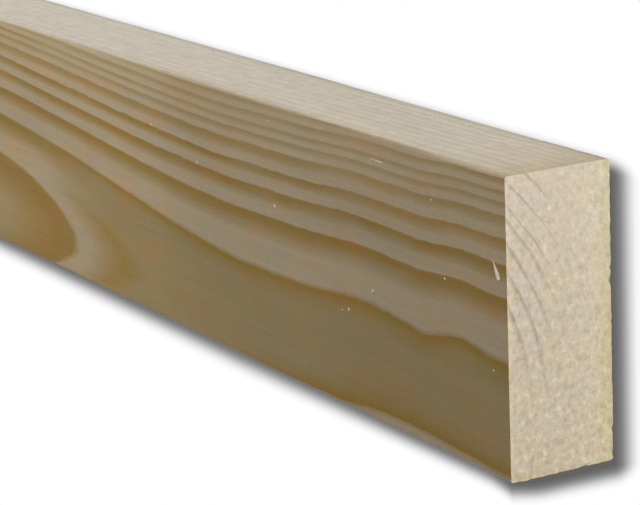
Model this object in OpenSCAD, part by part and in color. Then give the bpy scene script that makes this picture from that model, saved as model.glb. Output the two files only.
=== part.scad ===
// Planed softwood plank, lying flat on one wide face.
// X runs along the length, Y across the width and Z up through the thickness.
// The origin is on the underside, at the middle of the length and of the width.

/* [Section] */
// Width across the wide faces, after planing
plank_width = 70; // [40:1:220]
// Thickness between the wide faces, after planing
plank_thickness = 28; // [12:1:75]
// Radius of the long edges, where the planer takes off the sharp corner
edge_radius = 0.8; // [0.2:0.1:5]

/* [Length] */
// Length between the two sawn ends
plank_length = 1800; // [300:100:6000]

/* [Hidden] */
// Segments in a full circle of the rounded edges
edge_segments = 48;

// Middle of each rounded edge, counted from the middle of the section
edge_y = plank_width / 2 - edge_radius;
edge_z = plank_thickness / 2 - edge_radius;

// Outline of the section, with its middle at the origin: two crossed rectangles that end
// where the rounding starts, and a disc in each of the four corners.
module section_outline() {
    square([plank_width, 2 * edge_z], center = true);
    square([2 * edge_y, plank_thickness], center = true);
    for (side = [-1, 1], face = [-1, 1])
        translate([side * edge_y, face * edge_z])
            circle(r = edge_radius, $fn = edge_segments);
}

// The plank itself: one sawn and planed piece of timber, with its grain along X.
module plank() {
    color("burlywood")
        translate([-plank_length / 2, 0, plank_thickness / 2])
            rotate([90, 0, 90])
                linear_extrude(height = plank_length)
                    section_outline();
}

plank();
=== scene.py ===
import bpy
import numpy as np
from mathutils import Matrix, Vector


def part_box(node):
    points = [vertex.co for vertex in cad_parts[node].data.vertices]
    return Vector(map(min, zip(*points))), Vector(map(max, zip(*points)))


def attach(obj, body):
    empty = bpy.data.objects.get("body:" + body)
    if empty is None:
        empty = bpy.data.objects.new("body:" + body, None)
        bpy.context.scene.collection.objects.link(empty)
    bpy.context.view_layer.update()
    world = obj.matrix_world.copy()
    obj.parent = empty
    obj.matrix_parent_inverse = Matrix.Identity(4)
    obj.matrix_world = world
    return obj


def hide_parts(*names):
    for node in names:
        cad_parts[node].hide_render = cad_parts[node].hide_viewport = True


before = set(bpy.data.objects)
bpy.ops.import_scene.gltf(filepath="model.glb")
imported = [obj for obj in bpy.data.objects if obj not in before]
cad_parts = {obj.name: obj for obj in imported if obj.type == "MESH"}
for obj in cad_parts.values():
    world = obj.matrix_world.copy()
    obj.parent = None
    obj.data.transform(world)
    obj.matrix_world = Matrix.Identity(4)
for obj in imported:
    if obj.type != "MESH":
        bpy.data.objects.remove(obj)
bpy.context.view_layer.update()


# --- The plank -----------------------------------------------------------------------------
# One length of slow-grown pine, sawn from the log well outside its pith, so that the growth
# rings meet the upper wide face in long flames. Its four long faces are planed, its long
# edges are just eased, and its two ends are left as the saw cut them.

MM = 0.001
low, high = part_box("plank")
length, width, thickness = high - low
arris = 0.8 * MM  # radius of the eased long edges
planing = 0.22 * MM  # how far the planed skin lies inside the full size
sawing = 0.25 * MM  # how far the sawn ends lie inside the full length


def smooth_step(a, start, end):
    """0 before start and 1 after end, with the cubic 3t^2 - 2t^3 between them."""
    t = np.clip((a - start) / (end - start), 0, 1)
    return t * t * (3 - 2 * t)


def hump(a, middle, reach):
    """A bell of height 1 at middle, e to the minus square of the distance over reach."""
    return np.exp(-(((a - middle) / reach) ** 2))


def soft_ramp(a, start, blend):
    """A straight line of slope 1 from start on, and 0 before it: blend ln(1 + e^(t / blend))."""
    return blend * np.logaddexp(0, (a - start) / blend)


def pith_distance(s, up):
    """How far the pith lies above the upper face, in mm, at s mm from the near end and up mm from
    the lower edge: level at first, then nearer as the log tapers. Bells take off the swells of
    the grain: one set along the lower edge, one over the rest, and one that fills out the tip
    of the inner flame."""
    taper = 0.032 * soft_ramp(s, 142, 20) - 0.020 * soft_ramp(s, 330, 40)
    lower = 0.24 + 0.20 * hump(s, 0, 12) - 0.27 * hump(s, 48, 26)
    upper = 0.45 * hump(s, 62, 20) + 0.22 * hump(s, 95, 26) + 0.29 * hump(s, 20, 11)
    upper = upper - 0.05 * hump(s, 35, 4)
    swell = lower + (upper - lower) * smooth_step(up, 6, 24)
    flame_tip = 0.43 * hump(s, 268, 34) * (1 - smooth_step(up, 28, 40))
    wander = 0.9 * np.sin((s - 330) / 118) * smooth_step(s, 330, 700)
    return 91.3 - taper - swell - flame_tip + wander


def pith_height(s):
    """Where the pith passes over the upper face, in mm from its lower edge at -Y, at s mm from
    the near end: an exponential run-out, then a slow sway."""
    sway = 11 * np.sin((s - 300) / 390) * smooth_step(s, 300, 900)
    return 11 + 5.2 * np.exp(-s / 100) + sway


# Widths of the growth rings in mm, from the pith out: wide ones that show only further along,
# the six that cross the upper face near its lower edge, and narrow ones up to the bark side.
draw = np.random.default_rng(7)
inner_rings = 3.6 * draw.uniform(0.8, 1.2, 24)
shown_rings = np.array([3.65, 3.1, 2.3, 2.1, 2.2, 1.4])
outer_rings = 1.45 * draw.uniform(0.8, 1.2, 40)
first_shown = 88.35  # radius of the ring boundary at the tip of the nearest flame, in mm
ovalness = 0.57  # share of the depth below the upper face that counts in a radius
ring_radii = first_shown + np.concatenate(
    [-np.cumsum(inner_rings)[::-1], [0], np.cumsum(np.concatenate([shown_rings, outer_rings]))]
)


def ring_number(x, y, z):
    """The count of growth rings out from the pith: the radius from the pith line to the point,
    read off the list of ring boundaries with straight lines between them. The log is a little
    oval, so the depth below the upper face counts for only a part of itself."""
    s = (high.x - x) / MM
    up = (y - low.y) / MM
    below = (high.z - z) / MM
    radius = np.hypot(pith_distance(s, up) + ovalness * below, up - pith_height(s))
    return np.interp(radius, ring_radii, np.arange(len(ring_radii)))


def latewood(ring):
    """0 in the pale spring wood and 1 in the hard dark summer wood that ends each ring."""
    t = ring - np.floor(ring)
    return smooth_step(t, 0.45, 0.92) * (1 - smooth_step(t, 0.985, 1.0))


def ripple(a, b, size, seed, waves=7):
    """Soft even unevenness, mostly from -1 to 1: 1.6 times the mean of a few sine waves across
    (a, b), whose wavelengths lie round size and whose directions and phases are drawn from
    seed."""
    pick = np.random.default_rng(seed)
    turn = pick.uniform(0, 2 * np.pi, (waves, 1))
    phase = pick.uniform(0, 2 * np.pi, (waves, 1))
    pace = 2 * np.pi / (size * pick.uniform(0.6, 1.6, (waves, 1)))
    along = np.cos(turn) * np.ravel(a) + np.sin(turn) * np.ravel(b)
    return np.sin(along * pace + phase).mean(0).reshape(np.shape(a)) * 1.6


def stations(reach, fine, count):
    """Count numbers from -reach to reach that lie fine apart at both ends and wider towards
    the middle: each end is reach (1 - sinh(k t) / sinh(k)) for t from 0 to 1, with the k whose
    first step comes nearest to fine."""
    t = np.linspace(0, 1, (count + 1) // 2)
    first = t[1]
    tries = np.linspace(0.01, 12, 4000)
    steps = reach * np.sinh(tries * first) / np.sinh(tries)
    k = tries[np.argmin(abs(steps - fine))]
    away = reach * (1 - np.sinh(k * t) / np.sinh(k))
    return np.concatenate([-away, away[-2::-1]])


def cells(grid, flip):
    """The values at the four corners of every cell of a grid, going round it one way or, with
    flip, the other."""
    corners = [grid[:-1, :-1], grid[1:, :-1], grid[1:, 1:], grid[:-1, 1:]]
    if flip:
        corners.reverse()
    return np.stack([c.ravel() for c in corners], 1)


def box_shell(nx, ny, nz):
    """The closed skin of a block of nx by ny by nz points: the grid places of its points, and
    the quads of its six sides, +X, -X, +Y, -Y, +Z and -Z, wound so that they face outwards."""
    number = np.full((nx, ny, nz), -1)
    skin = np.ones((nx, ny, nz), bool)
    skin[1:-1, 1:-1, 1:-1] = False
    number[skin] = np.arange(skin.sum())
    sides = [
        cells(number[-1], False), cells(number[0], True),
        cells(number[:, -1], True), cells(number[:, 0], False),
        cells(number[:, :, -1], False), cells(number[:, :, 0], True),
    ]
    return np.argwhere(skin), sides


# The grid of the skin: fine at the ends, where the saw's work shows, and at the eased edges.
end_step = 0.5 * MM
count_along, count_across, count_through = 281, 89, 31
along = stations(length / 2, end_step, count_along)
flat_across = np.linspace(-1, 1, count_across) * (width / 2 - arris)
flat_through = np.linspace(-1, 1, count_through) * (thickness / 2 - arris)
eased = arris * np.array([0.25, 0.5, 0.75, 1.0])
across = np.concatenate([flat_across[0] - eased[::-1], flat_across, flat_across[-1] + eased])
through = np.concatenate([flat_through[0] - eased[::-1], flat_through, flat_through[-1] + eased])

places, sides = box_shell(len(along), len(across), len(through))
x, y, z = along[places[:, 0]], across[places[:, 1]], through[places[:, 2]]

# The square corners of the section are drawn in to quarter discs: with a and b from 0 to 1
# across a corner, a goes to a sqrt(1 - b^2 / 2) and b to b sqrt(1 - a^2 / 2).
a = np.clip((abs(y) - (width / 2 - arris)) / arris, 0, 1)
b = np.clip((abs(z) - (thickness / 2 - arris)) / arris, 0, 1)
y = np.sign(y) * (np.minimum(abs(y), width / 2 - arris) + arris * a * np.sqrt(1 - b * b / 2))
z = np.sign(z) * (np.minimum(abs(z), thickness / 2 - arris) + arris * b * np.sqrt(1 - a * a / 2))
z = z + thickness / 2
out_y = np.sign(y)
out_z = np.sign(z - thickness / 2)

# How far each point lies on the narrow edges (1) or on the wide faces (0).
on_edge = np.where(a * b > 0, smooth_step(a - b, -0.5, 0.5), (a >= 1.0) & (b < 1.0))
ring = ring_number(x, y, z)

# The planed skin: the knives leave summer wood a hair prouder than spring wood, and the four
# faces have a long slow unevenness. The eased edges are worn a little more in places.
summer_rise = 0.35  # share of the planing that summer wood stands proud by
slow_rise = 0.25  # share of the planing that the slow unevenness takes
relief = summer_rise * latewood(ring) + slow_rise * ripple(x / MM, (y + 3 * z) / MM, 90, 11)
skin_depth = planing * np.clip(1 - relief, 0.2, 1.3)
most_wear = 0.16 * MM
worn_here = np.clip(ripple(x / MM, 40 * out_y + 90, 14, 5) + 0.4, 0, 1)
inwards = skin_depth + most_wear * np.sqrt(a * b) * worn_here
slant = np.maximum(np.hypot(a, b), 1e-9)
y = y - out_y * inwards * (a / slant)
z = z - out_z * inwards * (b / slant)

# The sawn ends: spring wood tears out a little between the rings, the blade leaves faint
# flats, and the rim has crumbled in places, with one nick under the near end.
end_side = np.where(places[:, 0] == 0, -1, np.where(places[:, 0] == len(along) - 1, 1, 0))
rim = np.maximum(a, b)
crumbled = np.clip(ripple(y / MM + 31 * out_z, z / MM, 3.4, 31) - 0.35, 0, 1) * rim
nick = hump(y / MM, 7, 0.8) * (z < arris) * (end_side > 0)
tears = ripple(y / MM, z / MM, 2.6, 21)
flats = ripple(y / MM, z / MM, 9, 22)
torn = 0.5 * (1 - latewood(ring)) + 0.3 * tears + 0.3 * flats
end_depth = sawing * np.clip(0.6 + 0.5 * torn, 0.1, 1.3)
crumb_in, crumb_round = 0.30 * MM, 0.16 * MM  # depths into the end and round its rim
nick_in, nick_round = 0.45 * MM, 0.35 * MM
x = x - end_side * (end_depth + crumb_in * crumbled + nick_in * nick)
y = y - out_y * crumb_round * crumbled * (a > 0) * abs(end_side)
z = z - out_z * (crumb_round * crumbled + nick_round * nick) * (b > 0) * abs(end_side)

mesh = bpy.data.meshes.new("plank_surface")
quads = np.concatenate(sides)
mesh.from_pydata(np.stack([x, y, z], 1), [], quads)
for name, values in (("ring", ring), ("narrow", on_edge)):
    attribute = mesh.attributes.new(name, "FLOAT", "POINT")
    attribute.data.foreach_set("value", values.astype(np.float32))
sawn = np.zeros(len(quads), np.float32)
sawn[: len(sides[0]) + len(sides[1])] = 1
mesh.attributes.new("sawn", "FLOAT", "FACE").data.foreach_set("value", sawn)
mesh.polygons.foreach_set("use_smooth", np.ones(len(quads), bool))
sharp_edge = np.radians(50)
mesh.set_sharp_from_angle(angle=sharp_edge)

# A map for painting the surface: the two ends side by side, then the four long faces of each
# half of the length in strips under each other, drawn larger towards the ends.
page = 1024.0  # the strips are laid out on a square page of this many units
margin = 2.0
gap = 4.0
long_scale = 2.15 / MM  # page units to the metre, across the long faces
end_scale = 4.8 / MM  # and on the two ends
second_end = 500.0  # how far the second end lies to the right of the first
to_middle = 1 - abs(along) / (length / 2)
along_page = margin + (page - 2 * margin) * to_middle * (1.3 - 0.3 * to_middle)
across_page = across + width / 2
through_page = through + thickness / 2
strips = []
for start, flip in ((0.0, False), (second_end, True)):
    end_across = across_page * end_scale + 3 * margin + start
    left, down = np.meshgrid(end_across, through_page * end_scale + gap, indexing="ij")
    strips.append(np.stack([cells(left, flip), cells(down, flip)], 2))
second_half = along[:-1] >= 0
half_down = 2 * (width + thickness) * long_scale + 5 * gap
row = thickness * end_scale + 3 * gap
for lines, size, flip in (
    (through_page, thickness, True), (through_page, thickness, False),
    (across_page, width, False), (across_page, width, True),
):
    left, down = np.meshgrid(along_page, lines * long_scale + row, indexing="ij")
    strip = np.stack([cells(left, flip), cells(down, flip)], 2)
    strip[:, :, 1] += half_down * np.repeat(second_half, len(lines) - 1)[:, None]
    strips.append(strip)
    row += size * long_scale + gap
page_map = mesh.uv_layers.new(name="OFBake")
page_map.data.foreach_set("uv", (np.concatenate(strips) / page).astype(np.float32).ravel())


def put(name, data):
    """An object of that name and data at the origin, linked to the scene."""
    piece = bpy.data.objects.new(name, data)
    bpy.context.scene.collection.objects.link(piece)
    return piece


plank = put("plank_surface", mesh)

# Pine: the colour comes from the ring count, and everything finer from noise drawn out along
# the grain. Colours are linear.
pine = bpy.data.materials.new("planed_pine")
pine.use_nodes = True
tree = pine.node_tree
shader = tree.nodes["Principled BSDF"]


def node(kind, out=0, inputs=(), **settings):
    """One shader node in the tree at hand: settings are its properties, and inputs pairs each
    socket with a value or with the socket that feeds it. Returns the output socket that out
    numbers or names."""
    n = tree.nodes.new("ShaderNode" + kind)
    for name, value in settings.items():
        setattr(n, name, value)
    for socket, value in dict(inputs).items():
        if isinstance(value, bpy.types.NodeSocket):
            tree.links.new(value, n.inputs[socket])
        else:
            n.inputs[socket].default_value = value
    return n.outputs[out]


def maths(operation, *values, clamp=False):
    """One Math node."""
    return node("Math", operation=operation, use_clamp=clamp, inputs=dict(enumerate(values)))


def grain_noise(scale, detail=2.0, roughness=0.5):
    """Noise from 0 to 1 on Object coordinates: scale is cells per mm along X, Y and Z."""
    at = node("Mapping", inputs={"Vector": place, "Scale": [c / MM for c in scale]})
    inputs = {"Vector": at, "Scale": 1.0, "Detail": detail, "Roughness": roughness}
    return node("TexNoise", "Fac", inputs)


def ramp(value, *stops):
    """A colour ramp: stops are pairs of place and linear colour."""
    out = node("ValToRGB", "Color", {"Fac": value})
    elements = out.node.color_ramp.elements
    while len(elements) < len(stops):
        elements.new(0.5)
    for element, (position, colour) in zip(elements, stops):
        element.position = position
        element.color = (*colour, 1)
    return out


def blend(share, first, second, how="MIX"):
    """A second colour laid over a first by a share from 0 to 1."""
    return node("Mix", 2, {0: share, 6: first, 7: second}, data_type="RGBA", blend_type=how)


def layered(colour, *layers):
    """A colour multiplied by each layer in turn."""
    for layer in layers:
        colour = blend(1.0, colour, layer, "MULTIPLY")
    return colour


def grey(value):
    """A number as a grey colour."""
    return node("CombineColor", inputs={0: value, 1: value, 2: value})


def fade(value, start, end, least=0.0, most=1.0, **settings):
    """A number that runs from least to most as value runs from start to end, and holds its
    last value on either side."""
    inputs = {"Value": value, "From Min": start, "From Max": end, "To Min": least, "To Max": most}
    return node("MapRange", inputs=inputs, **settings)


def spread(value, least, most):
    """A number from 0 to 1 moved to lie from least to most."""
    return fade(value, 0.0, 1.0, least, most)


place = node("TexCoord", "Object")
at_x, at_y, at_z = (node("SeparateXYZ", axis, {"Vector": place}) for axis in "XYZ")
ring_in = node("Attribute", "Fac", attribute_name="ring")
narrow_in = node("Attribute", "Fac", attribute_name="narrow")
sawn_in = node("Attribute", "Fac", attribute_name="sawn")

# The ring lines waver softly, and finely where fibres cross them, more so in the narrow rings.
wide_count = float(len(inner_rings))  # the count of the widest ring, the first one shown
loose_ring = fade(ring_in, wide_count + 1.5, wide_count + 4.0, 0.6, 2.6)
soft_waver = maths("MULTIPLY", loose_ring, spread(grain_noise((0.02, 0.06, 0.06), 3), -0.09, 0.09))
fine_waver = maths("MULTIPLY", loose_ring, spread(grain_noise((0.25, 0.9, 0.9), 3), -0.03, 0.03))
ring_here = maths("ADD", maths("ADD", ring_in, soft_waver), fine_waver)
count = maths("FLOOR", ring_here)
part = maths("FRACT", ring_here)
chance = node("TexWhiteNoise", "Value", {"W": count}, noise_dimensions="1D")
widest = maths("COMPARE", count, wide_count, 0.5)
innermost = maths("COMPARE", count, wide_count - 1, 0.5)
lateness = maths("MULTIPLY_ADD", innermost, -0.12, spread(chance, 0.85, 1.2))
share = maths("POWER", part, lateness)

# Each ring goes from pale spring wood to golden summer wood. The widest one, under the long
# plain tongue, turns tan early and has one faint false ring.
spring = (0.458, 0.358, 0.222)
narrow_ring = ramp(
    share,
    (0.00, (0.350, 0.240, 0.095)),
    (0.04, (0.462, 0.362, 0.226)),
    (0.42, spring),
    (0.58, (0.400, 0.290, 0.140)),
    (0.74, (0.352, 0.226, 0.066)),
    (0.90, (0.318, 0.185, 0.030)),
    (1.00, (0.322, 0.191, 0.040)),
)
wide_ring = ramp(
    part,
    (0.00, (0.345, 0.228, 0.070)),
    (0.04, (0.425, 0.322, 0.190)),
    (0.11, (0.425, 0.322, 0.190)),
    (0.18, (0.370, 0.264, 0.120)),
    (0.29, (0.330, 0.212, 0.052)),
    (0.40, (0.350, 0.250, 0.105)),
    (0.80, (0.340, 0.247, 0.112)),
    (0.90, (0.330, 0.222, 0.068)),
    (0.97, (0.312, 0.182, 0.020)),
    (1.00, (0.312, 0.182, 0.020)),
)
outward = fade(count, wide_count + 1.0, wide_count + 5.0, 1.1, 0.55)
clouds = spread(grain_noise((0.02, 0.06, 0.06), 2), 0.45, 1.65)
bloom = maths("MULTIPLY", outward, clouds, clamp=True)
bloomed = blend(bloom, (*spring, 1), narrow_ring)
tongue = fade(at_x, high.x - 250 * MM, high.x - 205 * MM)
flame = blend(maths("MULTIPLY", widest, tongue), bloomed, wide_ring)

fibre = spread(grain_noise((0.03, 2.4, 2.4), 4, 0.6), 0.88, 1.12)
mottle = spread(grain_noise((0.015, 0.07, 0.07), 2), 0.92, 1.08)
chatter = spread(grain_noise((0.45, 0.02, 0.02), 3), 0.96, 1.04)
speck = spread(grain_noise((0.5, 1.0, 1.0), 3, 0.7), 0.93, 1.07)
tint = ramp(
    grain_noise((0.05, 0.14, 0.14), 3),
    (0.32, (1.07, 0.96, 0.88)),
    (0.50, (1.00, 1.00, 1.00)),
    (0.68, (0.96, 1.015, 1.06)),
)
streak = spread(grain_noise((0.008, 0.7, 0.7), 3, 0.6), 0.93, 1.07)
marks = maths("MULTIPLY", chatter, maths("MULTIPLY", speck, streak))
mottled = grey(maths("MULTIPLY", maths("MULTIPLY", fibre, mottle), marks))

# Painted light: the wide faces are painted darker over the last hand's breadth before the near
# end and brighter beyond it, and palest along the +Y edge, on the lamp's side.
near = fade(at_x, high.x - 300 * MM, high.x)
# Painted shade towards the near end, painted light further along.
painted_falloff = ramp(
    near,
    (0.00, (1.26, 1.25, 1.22)),
    (0.32, (1.24, 1.23, 1.22)),
    (0.42, (1.17, 1.16, 1.15)),
    (0.50, (1.03, 1.03, 1.02)),
    (0.67, (0.955, 0.955, 0.955)),
    (0.83, (0.865, 0.86, 0.86)),
    (1.00, (0.825, 0.815, 0.81)),
)
# Painted light: palest along the +Y edge.
painted_edge_light = ramp(
    fade(at_y, 0, high.y),
    (0.30, (1.0, 1.0, 1.0)),
    (0.90, (1.14, 1.14, 1.12)),
)
wide_colour = layered(flame, tint, mottled, painted_falloff, painted_edge_light)

# The narrow edges are paler, and they meet the rings as thin lines that fade away from the
# near end. Their rim at the upper face is golden where the wide faces' summer wood turns the
# corner, and painted shade darkens their rim on the paper.
edge_line = ramp(
    share,
    (0.0, (0.596, 0.535, 0.434)),
    (0.60, (0.590, 0.527, 0.424)),
    (0.90, (0.480, 0.410, 0.306)),
    (1.0, (0.580, 0.514, 0.408)),
)
edge_plain = (0.586, 0.524, 0.422, 1)
edge_lined = blend(maths("MULTIPLY_ADD", near, 0.75, 0.20), edge_plain, edge_line)
# Painted shade darkens the narrow edges towards the near end, as on the wide faces; the last stops
# are the wood's own golden band at the very end.
edge_shade_and_gold = ramp(
    near,
    (0.00, (1.05, 1.06, 1.07)),
    (0.40, (1.00, 1.00, 1.00)),
    (0.90, (0.935, 0.92, 0.89)),
    (0.965, (0.91, 0.875, 0.80)),
    (0.985, (0.86, 0.80, 0.66)),
    (1.00, (0.81, 0.74, 0.56)),
)
# Golden along the upper rim; painted shade along the lower rim, where the edge meets the paper.
golden_rim_and_shade = ramp(
    fade(at_z, 0, thickness),
    (0.00, (0.58, 0.58, 0.55)),
    (0.035, (0.72, 0.72, 0.69)),
    (0.075, (0.94, 0.94, 0.93)),
    (0.13, (1.0, 1.0, 1.0)),
    (0.84, (1.0, 1.0, 1.0)),
    (0.96, (0.93, 0.90, 0.84)),
    (1.00, (0.84, 0.76, 0.60)),
)
edge_fibre = grey(spread(grain_noise((0.06, 1.0, 1.0), 5, 0.7), 0.80, 1.20))
edge_fluff = grey(spread(grain_noise((0.22, 0.34, 0.34), 4, 0.75), 0.76, 1.24))
edge_colour = layered(edge_lined, mottled, edge_fibre, edge_fluff, edge_shade_and_gold, golden_rim_and_shade)

# On the sawn ends the ring lines are clear only near the upper face and the +Y edge, where
# the saw entered; the rest is torn into fuzz, pits and pale flecks, coarser towards -Y.
end_line = ramp(
    share,
    (0.0, (0.650, 0.568, 0.446)),
    (0.66, (0.650, 0.568, 0.446)),
    (0.84, (0.440, 0.372, 0.278)),
    (0.91, (0.440, 0.372, 0.278)),
    (1.0, (0.645, 0.562, 0.440)),
)
end_plain = (0.650, 0.565, 0.435, 1)
one_in_two = maths("GREATER_THAN", maths("PINGPONG", count, 1.0), 0.5)
strong = maths("MAXIMUM", one_in_two, maths("LESS_THAN", count, wide_count + 4.5))
clean_z = fade(at_z, 0.52 * thickness, 0.72 * thickness)
clean_y = fade(at_y, -0.24 * width, -0.01 * width)
patchy = maths("MULTIPLY", spread(grain_noise((0, 0.22, 0.22), 2), 0.2, 1.5), strong)
clean = maths("MULTIPLY", maths("MULTIPLY", clean_z, clean_y), patchy, clamp=True)
end_grain = blend(maths("MULTIPLY_ADD", clean, 0.80, 0.05), end_plain, end_line)
coarser = fade(at_y, low.y, high.y, 1.32, 0.86)
torn_noise = grain_noise((0.6, 0.49, 0.65), 3, 0.62)
fuzz = maths("MULTIPLY_ADD", maths("SUBTRACT", torn_noise, 0.5), coarser, 0.5)
tufts = ramp(
    fuzz,
    (0.28, (0.82, 0.80, 0.74)),
    (0.42, (0.94, 0.93, 0.91)),
    (0.52, (1.00, 1.00, 1.00)),
    (0.64, (1.08, 1.08, 1.08)),
    (0.72, (1.26, 1.26, 1.22)),
)
end_tint = ramp(
    grain_noise((0.1, 0.16, 0.16), 2),
    (0.35, (1.02, 0.99, 0.95)),
    (0.65, (0.985, 1.0, 1.03)),
)
# Painted light: the end is painted paler towards the +Y edge, on the lamp's side, and darker and
# yellower towards -Y.
end_painted_light = ramp(
    fade(at_y, low.y, high.y),
    (0.0, (0.89, 0.88, 0.80)),
    (0.04, (0.925, 0.915, 0.885)),
    (0.50, (0.955, 0.95, 0.95)),
    (0.80, (1.00, 1.00, 1.01)),
    (1.0, (1.045, 1.045, 1.065)),
)
# A yellow-green tint along the rim on the paper, and a painted highlight along the rim at the upper
# face.
green_rim_and_highlight = ramp(
    fade(at_z, 0, thickness),
    (0.0, (0.95, 0.99, 0.81)),
    (0.09, (1.03, 1.05, 0.96)),
    (0.20, (1.05, 1.05, 1.04)),
    (0.45, (1.0, 1.0, 1.0)),
    (0.945, (1.0, 1.0, 1.0)),
    (0.975, (1.12, 1.10, 1.03)),
)
end_colour = layered(end_grain, tufts, end_tint, end_painted_light, green_rim_and_highlight)

long_colour = blend(narrow_in, wide_colour, edge_colour)
colour = blend(sawn_in, long_colour, end_colour)
tree.links.new(colour, shader.inputs["Base Color"])

# Summer wood planes smoother and stands higher than spring wood, and on the ends it tears
# deeper. The fibres and the planer's knife marks add to the height.
summer = ramp(share, (0.45, (0, 0, 0)), (0.92, (1, 1, 1)), (0.985, (1, 1, 1)), (1.0, (0, 0, 0)))
planed_rough = spread(grain_noise((0.05, 1.5, 1.5), 3), 0.50, 0.68)
sawn_rough = 0.9
rough_long = maths("ADD", maths("MULTIPLY", summer, -0.10), planed_rough)
roughness = node("Mix", 0, {0: sawn_in, 2: rough_long, 3: sawn_rough})
tree.links.new(roughness, shader.inputs["Roughness"])

in_mm = node("Mapping", inputs={"Vector": place, "Scale": (1 / MM,) * 3})
knife_scale = 0.13  # a knife mark every 2.4 mm
knife_inputs = {"Vector": in_mm, "Scale": knife_scale, "Distortion": 0.6}
knife = node("TexWave", "Fac", knife_inputs, bands_direction="X")
fine_height = maths("ADD", maths("MULTIPLY", fibre, 1.6), maths("MULTIPLY", knife, 0.12))
long_height = maths("ADD", maths("MULTIPLY", summer, 0.5), fine_height)
end_height = maths("ADD", maths("MULTIPLY", summer, -0.6), maths("MULTIPLY", fuzz, 9.0))
height = node("Mix", 0, {0: sawn_in, 2: long_height, 3: end_height})
bump = node("Bump", inputs={"Height": height, "Distance": 0.05 * MM, "Strength": 1.0})
tree.links.new(bump, shader.inputs["Normal"])
shader.inputs["Specular IOR Level"].default_value = 0.30

mesh.materials.append(pine)
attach(plank, "root")
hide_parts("plank")


# --- The slivers ---------------------------------------------------------------------------
# Two pale slivers on the upper face near the near end: a wedge that the saw left across the
# grain, and a long fibre that the planer raised along it. Both are pressed into the skin.

bare = bpy.data.materials.new("bare_pine")
bare.use_nodes = True
tree = bare.node_tree
shader = tree.nodes["Principled BSDF"]
place = node("TexCoord", "Object")
strands = ramp(
    grain_noise((2.5, 2.5, 2.5), 3, 0.6),
    (0.3, (0.62, 0.54, 0.40)),
    (0.6, (0.85, 0.78, 0.64)),
)
tree.links.new(strands, shader.inputs["Base Color"])
shader.inputs["Roughness"].default_value = 0.85
shader.inputs["Specular IOR Level"].default_value = 0.3


def slivers(centres, headings, normals, sizes, sections=5, sides=6, lean=0.0):
    """Closed pointed slivers, each a row of rounded sections that swell from one tip to the
    other as the square root of sin, leaning to the second tip as 1 - lean cos: sizes are
    length, width and height, in metres, along the heading, across it and along the normal."""
    t = np.linspace(0, np.pi, sections + 2)[1:-1]
    swell = np.sqrt(np.sin(t)) * (1 - lean * np.cos(t)) / (1 + 0.5 * lean)
    turn = np.linspace(0, 2 * np.pi, sides, endpoint=False)
    across = np.cross(normals, headings)
    half_long, half_wide, half_tall = (sizes[:, i, None, None, None] / 2 for i in range(3))
    shift = -np.cos(t)[None, :, None, None] * half_long * headings[:, None, None, :]
    wide = (swell[:, None] * np.cos(turn))[None, :, :, None] * half_wide * across[:, None, None, :]
    tall = (swell[:, None] * np.sin(turn))[None, :, :, None] * half_tall * normals[:, None, None, :]
    tips = headings[:, None, :] * sizes[:, :1, None] * np.array([-0.5, 0.5])[None, :, None]
    rows = (shift + wide + tall).reshape(len(centres), -1, 3)
    points = np.concatenate([rows, tips], 1) + centres[:, None, :]

    faces = []
    for i in range(sections - 1):
        for j in range(sides):
            k = (j + 1) % sides
            faces.append([i * sides + j, i * sides + k, (i + 1) * sides + k, (i + 1) * sides + j])
    first_tip = sections * sides
    last = (sections - 1) * sides
    for j in range(sides):
        k = (j + 1) % sides
        faces.append([first_tip, k, j])
        faces.append([first_tip + 1, last + j, last + k])
    per_sliver = points.shape[1]
    every = [[c + n * per_sliver for c in face] for n in range(len(centres)) for face in faces]
    return points.reshape(-1, 3), every


# The middle of each: mm from the near end and from the lower edge, and pressed into the face.
sliver_at = np.array([[4.4, 48.2], [54, 64.2]]) * MM
sliver_z = np.full(2, high.z - 0.15 * MM)
sliver_points, sliver_faces = slivers(
    np.stack([high.x - sliver_at[:, 0], low.y + sliver_at[:, 1], sliver_z], 1),
    np.array([[0.47, -0.88, 0.0], [1.0, -0.03, 0.0]]),
    np.array([[0.0, 0.0, 1.0]] * 2),
    np.array([[4.8, 1.5, 0.26], [6.0, 0.30, 0.22]]) * MM,
    sections=13,
    sides=10,
    lean=0.75,
)
sliver_mesh = bpy.data.meshes.new("sliver")
sliver_mesh.from_pydata(sliver_points, [], sliver_faces)
sliver_mesh.materials.append(bare)
sliver = put("sliver", sliver_mesh)
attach(sliver, "root")


# --- The sawdust ---------------------------------------------------------------------------
# Crumbs and short fibres from the saw, pale like the fresh wood. They cling to the upper face,
# the +Y edge and the near end, thickest close to the cut.

draw = np.random.default_rng(41)


def scatter(count):
    """The x of count grains along the near half of the plank, crowded towards the near end by
    squaring an even draw."""
    first, last = 0.003, 0.9  # metres from the near end
    return high.x - (first + (last - first) * draw.uniform(0, 1, count) ** 2)


on_top, on_side, on_end = 12, 100, 40
inset = 0.14 * MM  # how deep the middle of a grain lies
border = 1.5 * MM  # how far grains keep from the long edges
end_border = 2 * MM
top_y = draw.uniform(low.y + border, high.y - border, on_top)
top_dust = np.stack([scatter(on_top), top_y, np.full(on_top, high.z - inset)], 1)
side_z = draw.uniform(border, high.z - border, on_side)
side_dust = np.stack([scatter(on_side), np.full(on_side, high.y - inset), side_z], 1)
end_y = draw.uniform(low.y + end_border, high.y - end_border, on_end)
end_z = draw.uniform(end_border, high.z - end_border, on_end)
end_dust = np.stack([np.full(on_end, high.x - inset), end_y, end_z], 1)
# Five bigger crumbs on the upper face: mm from the near end and from the lower edge.
crumbs = np.array([[172, 54], [145.5, 48], [104, 44], [69, 25], [57.5, 32]]) * MM
crumb_z = np.full(len(crumbs), high.z - inset)
big_dust = np.stack([high.x - crumbs[:, 0], low.y + crumbs[:, 1], crumb_z], 1)

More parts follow.
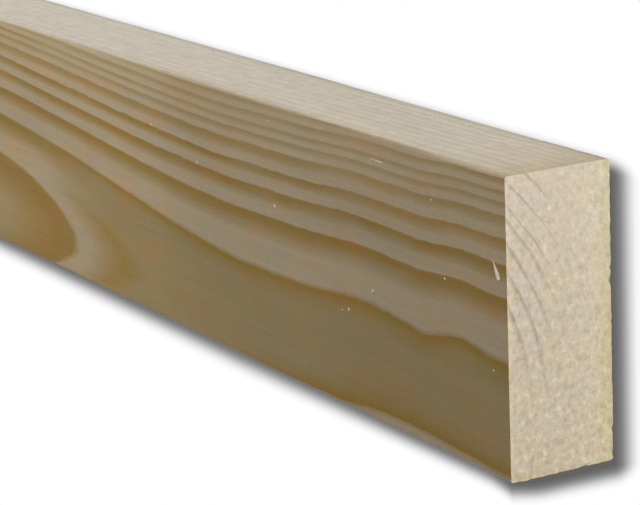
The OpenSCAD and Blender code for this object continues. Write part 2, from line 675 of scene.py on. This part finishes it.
# Each face's outward way, and the way along it that its grains lie round, in the same order.
face_normals = np.array([[0.0, 0, 1], [0, 1, 0], [1, 0, 0], [0, 0, 1]])
face_ways = np.array([[1.0, 0, 0], [1, 0, 0], [0, 1, 0], [0, 1, 0]])
counts = [on_top, on_side, on_end, len(crumbs)]
centres = np.concatenate([top_dust, side_dust, end_dust, big_dust])
normals = np.repeat(face_normals, counts, axis=0)
first_way = np.repeat(face_ways, counts, axis=0)
second_way = np.cross(normals, first_way)
turn = draw.normal(0, 0.7, (len(centres), 1))
headings = np.cos(turn) * first_way + np.sin(turn) * second_way
sizes = np.stack([
    draw.uniform(0.35, 0.9, len(centres)),
    draw.uniform(0.18, 0.34, len(centres)),
    np.full(len(centres), 0.26),
], 1) * MM
sizes[-len(crumbs):, :2] = np.array([1.1, 0.45]) * MM
dust_points, dust_faces = slivers(centres, headings, normals, sizes)
dust_mesh = bpy.data.meshes.new("sawdust")
dust_mesh.from_pydata(dust_points, [], dust_faces)
dust_mesh.materials.append(bare)
sawdust = put("sawdust", dust_mesh)
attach(sawdust, "root")


# --- The studio ----------------------------------------------------------------------------
# A plain white sheet of paper that reaches past every view, one broad soft light past the
# near end on the +Y side, and an even pale surround.

floor_mesh = bpy.data.meshes.new("floor")
reach = 60.0  # metres each way
corners = [(-reach, -reach, 0), (reach, -reach, 0), (reach, reach, 0), (-reach, reach, 0)]
floor_mesh.from_pydata(corners, [], [(0, 1, 2, 3)])
floor = put("floor", floor_mesh)
white = bpy.data.materials.new("white_floor")
white.use_nodes = True
paper = white.node_tree.nodes["Principled BSDF"]
paper.inputs["Roughness"].default_value = 0.9
paper.inputs["Specular IOR Level"].default_value = 0.0

# The paper lies in a soft shade round the plank: a little past its ends and its +Y edge, and
# further on its -Y side, where the shade runs slantwise past the near end. The distance from
# the shade is 0 inside it and 1 across its soft edge. Only the camera sees the shade, and it
# sees the rest of the paper white.
tree = white.node_tree
spot = node("TexCoord", "Object")
spot_x, spot_y = (node("SeparateXYZ", axis, {"Vector": spot}) for axis in "XY")


def beyond(value, start, reach):
    """0 up to start, rising to 1.5 at one and a half times reach past it."""
    return fade(value, start, start + 1.5 * reach, most=1.5)


end_reach, lower_reach, upper_reach = 7.4 * MM, 3.9 * MM, 3.5 * MM  # of the soft edge
aside_x = maths("ADD", beyond(spot_x, high.x, end_reach), beyond(spot_x, low.x, -end_reach))

# The shade's edge on the -Y side: a slanting line, eased where it meets the straight part, and
# softer further from the near end.
slant_start, slant_end = high.x - 42 * MM, high.x + 21 * MM
slanting = fade(spot_x, slant_start, slant_end, low.y - 18.8 * MM, low.y + 7.9 * MM)
eased_back = fade(
    spot_x, high.x - 54 * MM, high.x - 27 * MM, 2.6 * MM, 0, interpolation_type="SMOOTHSTEP"
)
softer = fade(spot_x, high.x - 180 * MM, high.x - 50 * MM, 1.45, 1.0)
outside = maths("SUBTRACT", maths("ADD", slanting, eased_back), spot_y)
below_shade = beyond(maths("DIVIDE", outside, softer), 0, lower_reach)
aside_y = maths("ADD", below_shade, beyond(spot_y, high.y - 4 * MM, upper_reach))
square_x = maths("MULTIPLY", aside_x, aside_x)
square_y = maths("MULTIPLY", aside_y, aside_y)
from_shade = maths("SQRT", maths("ADD", square_x, square_y))
shade = ramp(
    maths("MULTIPLY", from_shade, 0.5),
    (0.00, (0.13, 0.125, 0.12)),
    (0.10, (0.16, 0.155, 0.155)),
    (0.22, (0.24, 0.24, 0.24)),
    (0.34, (0.42, 0.42, 0.42)),
    (0.45, (0.65, 0.65, 0.65)),
    (0.60, (0.90, 0.90, 0.90)),
    (0.75, (1.0, 1.0, 1.0)),
)
seen = node("LightPath", "Is Camera Ray")
paper_glow = 0.42  # light that the paper gives back; the camera sees it at 1
glow = maths("MULTIPLY_ADD", seen, 1 - paper_glow, paper_glow)
tree.links.new(blend(seen, (1, 1, 1, 1), shade), paper.inputs["Emission Color"])
tree.links.new(glow, paper.inputs["Emission Strength"])
tree.links.new(blend(seen, (0.86, 0.86, 0.86, 1), (0, 0, 0, 1)), paper.inputs["Base Color"])
floor_mesh.materials.append(white)

surround = bpy.data.worlds.new("surround")
bpy.context.scene.world = surround
surround.use_nodes = True
tree = surround.node_tree
background = tree.nodes["Background"]
background.inputs["Color"].default_value = (1, 1, 1, 1)
seen = node("LightPath", "Is Camera Ray")
sky_glow = 0.40  # light from the surround; the camera sees it at 1
glow = maths("MULTIPLY_ADD", seen, 1 - sky_glow, sky_glow)
tree.links.new(glow, background.inputs["Strength"])

lamp = bpy.data.lights.new("side_light", "AREA")
lamp.shape = "SQUARE"
lamp.size = 1.6  # metres
lamp.energy = 36  # watts
near_end = Vector((high.x, 0, thickness / 2))
from_near_end = Vector((1.75, 1.6, 1.4))
light = put("side_light", lamp)
light.location = near_end + from_near_end
light.rotation_mode = "QUATERNION"
light.rotation_quaternion = (near_end - light.location).to_track_quat("-Z", "Y")

# The camera looks down on the upper face and along it, from past the near end.
camera_data = bpy.data.cameras.new("camera")
camera_data.lens = 149.7  # mm
camera = put("camera", camera_data)
near_corner = Vector((high.x, low.y, high.z))
from_near_corner = Vector((0.4647, 0.1977, 0.3080))
camera.location = near_corner + from_near_corner
looking = Vector((-0.8437, -0.2489, -0.4756)).normalized()
above = Vector((-0.1964, 0.9677, -0.1581))
right = looking.cross(above).normalized()
above = right.cross(looking)
camera.rotation_mode = "QUATERNION"
camera.rotation_quaternion = Matrix((right, above, -looking)).transposed().to_quaternion()
bpy.context.scene.camera = camera
bpy.context.scene.view_settings.view_transform = "Standard"
